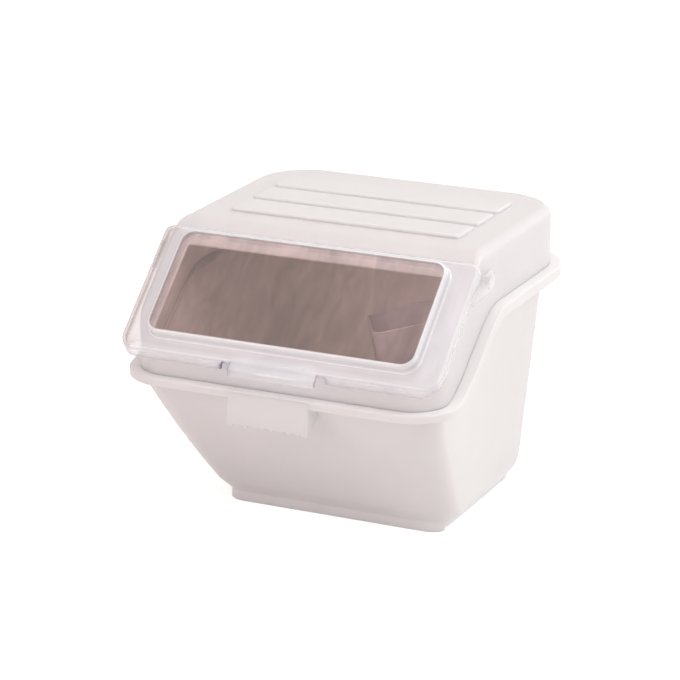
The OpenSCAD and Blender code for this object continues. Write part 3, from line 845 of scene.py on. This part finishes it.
@dataclass
class Hood:
    """The lift-off hood: walls on the tub's ledge, a sloping mouth frame and three raised bars."""

    tub: Tub
    slope: Slope
    plan: Plan = Plan(157.0, -162.75, 166.25, 37.0, 57.0)
    # The mouth in the slope's X and s, and how far its edge is softened.
    mouth: Plan = Plan(135.0, 18.0, 115.0, 4.0, 4.0)
    mouth_edge: float = 0.7
    # The top, its bend to the slope, and its edge, whose radius grows over a stretch in Y.
    top: float = 287.0
    bend_r: float = 34.0
    edge_r: Pair = (2.5, 11.0)
    edge_start: float = -76.0
    edge_run: float = 42.0
    least_r: float = 0.6
    wall: float = 3.0
    # The seam that shows over the tub's ledge.
    seat: float = 0.15
    # The bars: half their width, depth, rise, corner, edge and each one's front, from the back.
    bar: Triple = (119.0, 38.0, 3.5)
    bar_corner_r: float = 3.5
    bar_edge_r: float = 1.6
    bar_top_in: float = 3.0
    bar_sink: float = 1.0
    bar_fronts: tuple[float, ...] = (76.25, 28.25, -19.75)

    def top_z(self, y: Array, e: float) -> Array:
        """Height of the hood's upper face: the slope, a round bend and the flat top, drawn in by e.

        Args:
            y: places in Y.
            e: distance in from the outer face.

        Returns:
            Heights.
        """
        a = self.slope.angle
        corner = self.slope.front + (self.top - self.slope.sill) / math.tan(a)
        middle = corner + self.bend_r * math.tan(a / 2)
        r = self.bend_r - e
        plane = self.slope.sill + (y - self.slope.front) * math.tan(a) - e / math.cos(a)
        arc = self.top - self.bend_r + np.sqrt(np.clip(r * r - (y - middle) ** 2, 0, None))
        bent = np.where(y < middle - r * math.sin(a), plane, arc)
        return np.where(y > middle, self.top - e, bent)

    def skin(self, e: float) -> tuple[Array, Array]:
        """Loops of the wall and of the upper face, at a distance in from the outer face.

        The wall runs from the seam to the edge. The edge is a quarter round, whose radius grows from the
        slope to the top. The upper face mixes the edge's end with the mouth's outline.

        Args:
            e: distance in from the outer face.

        Returns:
            Rows of the wall with the edge, and rows of the upper face, both from the seam inwards.
        """
        line = plan_loops(inside(self.plan, e))[0]
        normal = line - plan_loops(inside(self.plan, e + 1))[0]
        y = line[:, 1]
        grown = smooth((y - self.edge_start) / self.edge_run)
        r = np.maximum(lerp(self.edge_r[0], self.edge_r[1], grown) - e, self.least_r)
        seam = self.tub.rim_z(y) + self.seat
        rise = np.r_[0.0, np.linspace(0.03, 1, 8)][:, None]
        wall_z = lerp(seam, self.top_z(y, e) - r, rise)
        wall = raised(np.broadcast_to(line, rise.shape[:1] + line.shape), wall_z)
        grow, fade = (share[1:, None] for share in quarter_round(9))
        xy = line - (r * grow)[:, :, None] * normal
        edge = raised(xy, self.top_z(xy[:, :, 1], e) - r * fade)
        hole = self.slope.world(raised(plan_loops(inside(self.mouth, -self.mouth_edge))[0], -e))
        flat = lerp(xy[-1], hole[:, :2], np.linspace(0, 1, 95)[1:, None, None])
        face = raised(flat, self.top_z(flat[:, :, 1], e))
        return np.concatenate([wall, edge]), face

    def shell(self) -> Object:
        """Builds the hood: up the outside, in over the top to the mouth, and back along the inside.

        Returns:
            The hood without its bars.
        """
        outer_wall, outer_face = self.skin(0.0)
        inner_wall, inner_face = self.skin(self.wall)
        lip = plan_loops(self.mouth)[0]
        depth = np.array([self.mouth_edge, self.wall / 2, self.wall - self.mouth_edge])
        mouth = self.slope.world(raised(np.broadcast_to(lip, depth.shape + lip.shape), -depth[:, None]))
        rows = np.concatenate([outer_wall, outer_face, mouth, inner_face[::-1], inner_wall[::-1]])
        obj = grid_object("hood_shell", rows, End.WRAP)
        inside_start = len(outer_wall) + len(outer_face) + len(mouth)
        set_inner(obj.data, inside_start, len(rows), len(lip))
        return obj

    def raised_bar(self, number: int) -> Object:
        """Builds a raised bar: level loops up its side, a round upper edge and a flat top.

        Args:
            number: which bar, from the back.

        Returns:
            The bar.
        """
        half, depth, rise = self.bar
        front = self.bar_fronts[number]
        shape = Plan(half, front, front + depth, self.bar_corner_r, self.bar_corner_r)
        grow, fade = quarter_round(6)
        insets = np.r_[0.0, 0.0, self.bar_edge_r * grow, self.bar_top_in]
        z = self.top + np.r_[-self.bar_sink, 0.0, rise - self.bar_edge_r * fade, rise]
        rows = level_loops(shape, insets, z, Steps(side=6, corner=8, back=40))
        return grid_object(f"hood_bar_{number + 1}", rows, End.FAN)

    def build(self, white: Material) -> None:
        """Builds and dresses the hood with its bars, and dresses the clip inside it.

        Args:
            white: finish of all.
        """
        dress(self.shell(), white, Body.COVER, Slot.WHITE, "hood")
        for number in range(len(self.bar_fronts)):
            dress(self.raised_bar(number), white, Body.COVER, Slot.WHITE)
        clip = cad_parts["scoop_clip"]
        clip.data.materials.clear()
        clip.data.materials.append(white)


@dataclass
class Lid:
    """The clear flip-up lid: a skirted flange, a raised window, two ears, two studs and a tongue."""

    slope: Slope
    # The flange's outline and the window's, in the slope's X and s.
    outline: Plan = Plan(162.5, -6.5, 131.0, 15.0, 8.0)
    window: Plan = Plan(138.0, 8.0, 123.75, 15.0, 15.0)
    # Heights in n: the flange's under and upper faces, the window's rise over it, and the thickness.
    under: float = 2.2
    flange: float = 4.7
    rise: float = 10.5
    thick: float = 2.5
    edge_r: float = 2.4
    # The under side: its loops below the pane, its edge there, and its play at the window and the skirt.
    hollow_in: Pair = (3.5, 12.5)
    hollow_edge: float = 0.8
    under_play: Pair = (0.2, -0.05)
    # The window: its pane's loops, its round and foot, and its wall's distances from pane and flange.
    pane_in: Pair = (13.0, 3.6)
    window_r: float = 3.0
    foot_r: float = 1.5
    wall_from: Pair = (4.0, 3.0)
    # The skirt: thickness, depth at sides and front, edge, and the s where front ends and top starts.
    skirt_t: float = 3.0
    skirt: float = 8.0
    front_skirt: float = 8.6
    skirt_edge: float = 0.5
    front_s: float = 20.0
    top_s: float = 100.0
    # The left edge's painted shade lies left of this X. Painted shade lines lie below this s,
    # and within this X of the gap's ends.
    left_shade_x: float = -150.0
    line_s: float = 8.0
    line_x: float = 0.5
    # Half widths of the finger gap and the tongue, and half a close pair of points at the gap's end.
    grip_hw: float = 53.0
    tongue_hw: float = 44.0
    pair: float = 0.2
    # The tongue in s and n: its upper root, its tip and its lower root, and how far its lip hangs.
    tongue_sn: Points = ((3.0, 4.6), (-15.0, 4.7), (3.0, 2.3))
    tongue_lip: float = 6.5
    # The pivot in Y and Z, and the ear about it: radius, faces in X, and its foot on the flange in s and n.
    pivot: Pair = (-45.5, 259.0)
    ear_r: float = 11.5
    ear_x: Pair = (159.6, 162.4)
    ear_foot: Points = ((84.0, -3.0), (84.0, 1.0), (114.0, 1.0))
    # The stud's profile, as places in X with their radii, from its shank to its domed head.
    stud: Points = (
        (157.3, 3.9), (159.4, 3.9), (159.4, 3.95), (162.5, 3.95),
        (162.5, 8.5), (163.3, 8.5), (164.1, 8.1), (164.5, 7.3), (164.5, 3.0))

    def steps(self) -> Steps:
        """Spaces the points of the lid's loops, with close pairs at the ends of the finger gap.

        Returns:
            The counts of points, and the front points' shares.
        """
        half = self.outline.half - self.outline.front_r
        before, after = self.grip_hw - self.pair, self.grip_hw + self.pair
        left, right = np.linspace(-half, -after, 24)[1:], np.linspace(after, half, 24)[:-1]
        x = np.r_[left, np.linspace(-before, before, 30), right]
        return Steps(side=60, corner=18, back=50, front=tuple((x + half) / (2 * half)))

    def rim(self) -> tuple[Array, Array]:
        """The flange's outline as X and s, and the way out of it at each point."""
        line, drawn_in = plan_loops(inside(self.outline, np.array([0.0, 1.0])), self.steps())
        return line, line - drawn_in

    def drop(self) -> tuple[Array, Array]:
        """How far the skirt hangs below the flange's top at each point of the outline, and which way.

        The sides hang along the slope's normal and the front hangs straight down. The upper edge and the
        finger gap have no skirt, only the flange's own thickness.

        Returns:
            The depth at each point, and its direction as s and n.
        """
        line, _ = self.rim()
        x, s = np.abs(line[:, 0]), line[:, 1]
        edge = self.outline.half - x
        at_front = np.where(s < self.front_s, np.clip(edge / self.outline.front_r, 0, 1), 0)
        at_top = np.where(s > self.top_s, np.clip(edge / self.outline.back_r, 0, 1), 0)
        gap = (x < self.grip_hw) & (s < self.front_s)
        depth = lerp(lerp(self.skirt, self.front_skirt, at_front), self.thick, np.maximum(at_top, gap))
        straight_down = np.array([-math.sin(self.slope.angle), -math.cos(self.slope.angle)])
        return depth, lerp(np.array([0.0, -1.0]), straight_down, at_front[:, None])

    def window_rows(self) -> Array:
        """Rows of the window's upper face in X, s and n.

        They go from the pane over its round, a quarter circle, down its wall and round its foot, a hollow
        quarter circle.

        Returns:
            Rows of points.
        """
        grow, fade = quarter_round(6)
        high, r, foot = self.flange + self.rise, self.window_r, self.foot_r
        wall = (high - self.wall_from[0], self.flange + self.wall_from[1])
        insets = np.r_[self.pane_in, r * fade, 0.0, 0.0, -foot * grow]
        n = np.r_[high, high, high - r * grow, wall, self.flange + foot * fade]
        return level_loops(self.window, insets, n, self.steps())

    def hollow_rows(self) -> Array:
        """Rows of the window's under face in X, s and n, from the flange up its wall and in below the pane.

        Returns:
            Rows of points.
        """
        high = self.flange + self.rise - self.thick
        insets = np.r_[self.thick, self.thick, self.hollow_in]
        n = np.array([self.under + self.under_play[0], high - self.hollow_edge, high, high])
        return level_loops(self.window, insets, n, self.steps())

    def skirt_rows(self) -> Array:
        """Rows of the skirt in X, s and n, down its outer face and over its lower edge to its inner face.

        The points leave the flange's outline by the depth and direction that drop gives.

        Returns:
            Rows of points.
        """
        line, normal = self.rim()
        depth, away = self.drop()
        fall = np.array([0.4, 0.94, 1.0, 1.0, 0.94])[:, None, None]
        insets = np.array([0.0, 0.0, self.skirt_edge, self.skirt_t - self.skirt_edge, self.skirt_t])
        rows = raised(line - insets[:, None, None] * normal, self.flange)
        rows[:, :, 1:] += fall * (depth[:, None] * away)
        return rows

    def marks(self, rows: Array, skirt: slice) -> Marks:
        """Picks the places that look unlike the rest of their rows.

        The flange's left edge, above and beneath, gets a painted shade, a smoky tint for the shade on the
        side away from the light. A faint line of painted shade runs along the skirt's lower edge at the
        front and up the right end of the finger gap, and the gap's left end gets a dark cut of painted
        shade.

        Args:
            rows: the lid's points in X, s and n.
            skirt: which rows are the skirt's.

        Returns:
            The looks with the points that have them.
        """
        smoky, lined, cut = np.zeros((3,) + rows.shape[:2], bool)
        # The flange's last row, the six rows of its round edge, and the row beneath.
        edge = [*range(skirt.start - 7, skirt.start), skirt.stop]
        # Painted shade on the left edge only, the side away from the light.
        smoky[edge] = rows[edge, :, 0] < self.left_shade_x
        x, s = self.rim()[0].T
        at_front = (s < self.line_s) & (np.abs(x) < self.outline.half - 2)
        lower_edge = slice(skirt.start + 2, skirt.stop - 1)
        lined[lower_edge] = at_front
        lined[skirt] |= at_front & (np.abs(x - self.grip_hw) < self.line_x)
        cut[skirt] = at_front & (np.abs(x + self.grip_hw) < self.line_x)
        return (Look.SMOKE, smoky), (Look.LINE, lined), (Look.CUT, cut)

    def pane(self) -> Object:
        """Builds the lid: from the window's middle out over the flange and the skirt, then back beneath.

        Returns:
            The lid without its tongue, ears and studs.
        """
        window = self.window_rows()
        line, normal = self.rim()
        grow, fade = self.edge_r * np.array(quarter_round(6))
        across = np.array([0.12, 0.5, 0.92])[:, None, None]
        flange = raised(lerp(window[-1, :, :2], line - self.edge_r * normal, across), self.flange)
        edge = raised(line - fade[:, None, None] * normal, self.flange - grow[:, None])
        skirt = self.skirt_rows()
        beneath = raised(line - self.skirt_t * normal, self.under + self.under_play[1])[None]
        rows = np.concatenate([window, flange, edge, skirt, beneath, self.hollow_rows()])
        looks = look_rows((Look.PANE, 2), (Look.ROUND, 6), (Look.WALL, 2), (Look.ROUND, 5), (Look.FOOT, 2),
                          (Look.FLANGE, 1), (Look.SHELF, 1), (Look.EDGE, 6), (Look.SKIRT, 5),
                          (Look.BENEATH, 3), (Look.PANE, 2))
        start = len(window) + len(flange) + len(edge)
        marks = self.marks(rows, slice(start, start + len(skirt)))
        return grid_object("lid_pane", self.slope.world(rows), End.FAN, looks, marks)

    def ear(self, side: Side) -> Object:
        """Builds the ear on one side: a plate from the side skirt's upper end round the pivot.

        Args:
            side: which side.

        Returns:
            The ear.
        """
        a = np.linspace(self.slope.angle + math.pi / 2 - 0.25, -math.pi / 2 - 0.15, 30)
        cap = np.array(self.pivot) + self.ear_r * np.stack([np.cos(a), np.sin(a)], 1)
        outline = np.concatenate([cap, self.slope.profile(np.array(self.ear_foot))])
        ends = (side.value * self.ear_x[0], side.value * self.ear_x[1])
        return extruded(side.label("lid_ear"), outline, ends, 0.5, look_rows((Look.EAR, 4)))

    def tongue(self) -> Object:
        """Builds the finger tongue: the slope carried on past the skirt and turned down in a lip.

        Returns:
            The tongue.
        """
        root, tip, lower_root = self.slope.profile(np.array(self.tongue_sn))
        back, low = tip[0] + self.thick, tip[1] - self.tongue_lip
        a = self.slope.angle
        under_z = self.slope.sill + (back - self.slope.front) * math.tan(a) + self.under / math.cos(a)
        corners = np.array([root, tip, [tip[0], low], [back, low], [back, under_z], lower_root])
        outline = rounded_outline(corners, np.array([0.2, 2.2, 0.8, 0.6, 0.8, 0.2]))
        # Painted shade: the tongue's left end gets the dark cut and its right end the faint line.
        looks = look_rows((Look.CUT, 1), (Look.FLANGE, 2), (Look.LINE, 1))
        return extruded("lid_tongue", outline, (-self.tongue_hw, self.tongue_hw), 0.7, looks)

    def hinge_stud(self, side: Side) -> Object:
        """Builds the stud on one side: its profile turned about X through the pivot.

        Args:
            side: which side.

        Returns:
            The stud.
        """
        x, radius = np.array(self.stud).T
        a = np.linspace(0, 2 * math.pi, 49)[:-1]
        circle = np.stack([np.cos(a), np.sin(a)], 1)
        rows = carried(side.value * x, np.array(self.pivot) + radius[:, None, None] * circle)
        return grid_object(side.label("stud"), rows, End.FAN, look_rows((Look.EAR, len(x))))

    def build(self, clear: Material) -> None:
        """Builds and dresses the lid with its ears, tongue and studs.

        Args:
            clear: finish of all.
        """
        dress(self.pane(), clear, Body.LID, Slot.CLEAR, "lid")
        dress(self.tongue(), clear, Body.LID, Slot.CLEAR)
        for side in Side:
            dress(self.ear(side), clear, Body.LID, Slot.CLEAR)
            dress(self.hinge_stud(side), clear, Body.LID, Slot.CLEAR, side.label("hinge_stud"))


@dataclass
class Scoop:
    """The clear scoop in its clip: an open bowl and a flat handle, tilted and turned."""

    # Where the handle's axes stand in the frame, and their tilt about Y and turn about Z.
    place: Triple = (143.0, 7.25, 232.0)
    tilt: float = math.radians(11)
    turn: float = math.radians(30)
    # The bowl: length, width and depth, wall, corners, floor's rounds and how far in its rows end.
    bowl: Triple = (78.0, 66.0, 46.0)
    wall: float = 2.0
    corner_r: float = 13.0
    floor_r: Pair = (5.0, 7.0)
    middle_in: float = 12.5
    # The rim: its edge, and how far below it the walls' first loops are.
    rim_edge: float = 0.5
    rim_loop: float = 8.0
    # Along the handle: the ends of the bowl and the handle, and how far the rim lies below the handle.
    bowl_end: float = -42.08
    handle_end: float = -8.08
    lift: float = 6.0
    # The handle's half width, and the lower and upper faces of the handle and of the neck below it.
    handle_hw: float = 10.0
    handle_z: Pair = (0.0, 5.0)
    neck_z: Pair = (-7.0, 4.0)

    def world(self, local: Array) -> Array:
        """Carries points from the handle's axes to the frame's: a tilt about Y, a turn about Z, a shift.

        Args:
            local: points in the handle's axes.

        Returns:
            The points in the frame's axes.
        """
        ct, st, cz, sz = math.cos(self.tilt), math.sin(self.tilt), math.cos(self.turn), math.sin(self.turn)
        tilted = np.array([[ct, 0, -st], [0, 1, 0], [st, 0, ct]])
        turned = np.array([[cz, -sz, 0], [sz, cz, 0], [0, 0, 1]])
        return local @ (turned @ tilted).T + np.array(self.place)

    def vessel(self) -> Object:
        """Builds the bowl: from its floor up the inside, over the rim, down the outside and beneath.

        Returns:
            The bowl.
        """
        length, width, depth = self.bowl
        shape = Plan(width / 2, self.bowl_end - length, self.bowl_end, self.corner_r, self.corner_r)
        grow, fade = quarter_round(6)
        inner_r, outer_r = self.floor_r
        wall, edge, rim = self.wall, self.rim_edge, -self.lift
        under = rim - depth
        floor = under + wall
        rim_in = (wall, wall, wall - edge, edge, 0.0, 0.0)
        rim_z = rim - np.array([self.rim_loop, edge, 0.0, 0.0, edge, self.rim_loop])
        insets = np.r_[self.middle_in, wall + inner_r * fade, rim_in, outer_r * grow, self.middle_in]
        z = np.r_[floor, floor + inner_r * grow, rim_z, under + outer_r * fade, under]
        across = level_loops(shape, insets, z, Steps(side=20, corner=12, back=16))
        looks = look_rows((Look.HOLLOW, 8), (Look.LIP, 4), (Look.BOWL, 8))
        return grid_object("scoop_bowl", self.world(across[:, :, [1, 0, 2]]), End.FAN, looks)

    def bar(self, name: str, x: Array, faces: Pair, radius: float, steps: int) -> Object:
        """Builds a bar of the handle's width: a rounded section carried along the handle.

        Args:
            name: name of the object.
            x: places of the sections along the handle.
            faces: its lower and upper face.
            radius: how far its corners are rounded.
            steps: spans in each corner.

        Returns:
            The bar.
        """
        half, (low, high) = self.handle_hw, faces
        corners = np.array([[-half, low], [half, low], [half, high], [-half, high]])
        section = rounded_outline(corners, np.full(4, radius), steps)
        return grid_object(name, self.world(carried(x, section)), End.FAN, look_rows((Look.BOWL, len(x))))

    def build(self, clear: Material) -> None:
        """Builds and dresses the bowl, the handle and the neck that joins the handle to the bowl's rim.

        Args:
            clear: finish of all.
        """
        dress(self.vessel(), clear, Body.SCOOP, Slot.SCOOP, "scoop")
        start = self.bowl_end - self.wall
        handle_x = np.linspace(start, self.handle_end, 12)
        dress(self.bar("scoop_handle", handle_x, self.handle_z, 1.5, 5), clear, Body.SCOOP, Slot.SCOOP)
        neck_x = np.array([start, self.bowl_end])
        dress(self.bar("scoop_neck", neck_x, self.neck_z, 0.6, 3), clear, Body.SCOOP, Slot.SCOOP)


@dataclass(frozen=True)
class Lamp:
    """A square soft lamp: its place and aim in metres, the length of its side, its watts and its tone."""

    name: str
    place: Triple
    size: float
    power: float
    tone: str
    aim: Triple = (0.0, 0.0, 0.15)

    def hang(self) -> None:
        """Adds the lamp to the scene, facing its aim."""
        data = bpy.data.lights.new(self.name, "AREA")
        data.shape = "SQUARE"
        data.size = self.size
        data.energy = self.power
        data.color = linear(self.tone)[:3]
        obj = linked(self.name, data)
        obj.location = self.place
        obj.rotation_euler = (Vector(self.place) - Vector(self.aim)).to_track_quat("Z", "Y").to_euler()


@dataclass
class Studio:
    """The pale sweep, soft lamps and the camera at the photographed angle."""

    # The camera: its place in metres, its angles in degrees, and its focal length and image in pixels.
    eye: Triple = (1.1601, -2.49705, 1.0553)
    yaw: float = 25.15
    pitch: float = 17.89
    focal_px: float = 3000.0
    image_px: float = 680.0
    sensor_mm: float = 36.0
    # The light of the surroundings, and half the length of the sweep.
    air_tone: str = "#FFEBE1"
    air_power: float = 0.24
    floor_half: float = 6000.0
    lamps: tuple[Lamp, ...] = (
        Lamp("key_right", (2.6, -1.0, 2.2), 1.8, 29.0, "#FFFAFE"),
        Lamp("top_soft", (0.2, 0.2, 2.8), 2.2, 31.5, "#FFF9F9", aim=(0.0, 0.0, 0.2)),
        Lamp("fill_front", (-1.2, -2.8, 1.4), 1.6, 28.0, "#FFEFF2"),
        Lamp("back_right", (2.2, 2.0, 1.5), 1.6, 32.5, "#FCFEFF"),
    )

    def camera(self) -> None:
        """Makes the camera: its lens is the focal length in pixels times the sensor over the image."""
        data = bpy.data.cameras.new("camera")
        data.sensor_width = self.sensor_mm
        data.lens = self.focal_px * self.sensor_mm / self.image_px
        data.clip_start, data.clip_end = 0.05, 60.0
        obj = linked("camera", data)
        obj.location = self.eye
        obj.rotation_euler = (math.radians(90 - self.pitch), 0.0, math.radians(self.yaw))
        bpy.context.scene.camera = obj

    def world(self) -> None:
        """Makes the surroundings: white to looking rays and a dim warm grey to light."""
        world = bpy.data.worlds.new("studio")
        bpy.context.scene.world = world
        world.use_nodes = True
        tree = world.node_tree
        tree.nodes.clear()
        dim = add_node(tree, "Background", {"Color": linear(self.air_tone), "Strength": self.air_power})
        plain = add_node(tree, "Background", {"Color": linear(PURE_WHITE), "Strength": 1.0})
        both = add_node(tree, "MixShader", None, {0: looking_rays(tree), 1: dim, 2: plain})
        add_node(tree, "OutputWorld", None, {"Surface": both})

    def floor(self) -> None:
        """Lays the pale sweep under the bin, as a grid of two parameters in X and Y."""
        u = np.linspace(-self.floor_half, self.floor_half, 9)
        x, y = np.meshgrid(u, u, indexing="ij")
        points = np.stack([x, y, 0 * x], 2).reshape(-1, 3) * MM
        index = np.arange(x.size).reshape(x.shape)
        quads = np.stack([index[:-1, :-1], index[1:, :-1], index[1:, 1:], index[:-1, 1:]], 2).reshape(-1, 4)
        mesh = bpy.data.meshes.new("floor")
        mesh.from_pydata(points.tolist(), [], quads.tolist())
        mesh.materials.append(StudioFloor().build())
        obj = linked("floor", mesh)

    def build(self) -> None:
        """Sets the view, the sweep, the lamps and the camera."""
        bpy.context.scene.view_settings.view_transform = "Standard"
        self.world()
        self.floor()
        for lamp in self.lamps:
            lamp.hang()
        self.camera()


def main() -> None:
    """Builds the bin's sub-assemblies and the studio."""
    logging.basicConfig(level=logging.INFO, format="%(name)s %(message)s")
    white = MouldedPolyethylene().build()
    dense = MouldedPolyethylene("dense white polyethylene", "#F2F4F5", "#EDEEEF", milk=0.0).build()
    clear = MouldedClear().build()
    scoop_clear = MouldedClear(name="moulded smoky styrene", tone="#FAF7FA").build()
    slope = Slope()
    tub = Tub()
    tub.build(white, dense)
    Hood(tub, slope).build(white)
    Lid(slope).build(clear)
    Scoop().build(scoop_clear)
    Studio().build()


if __name__ == "__main__":
    main()
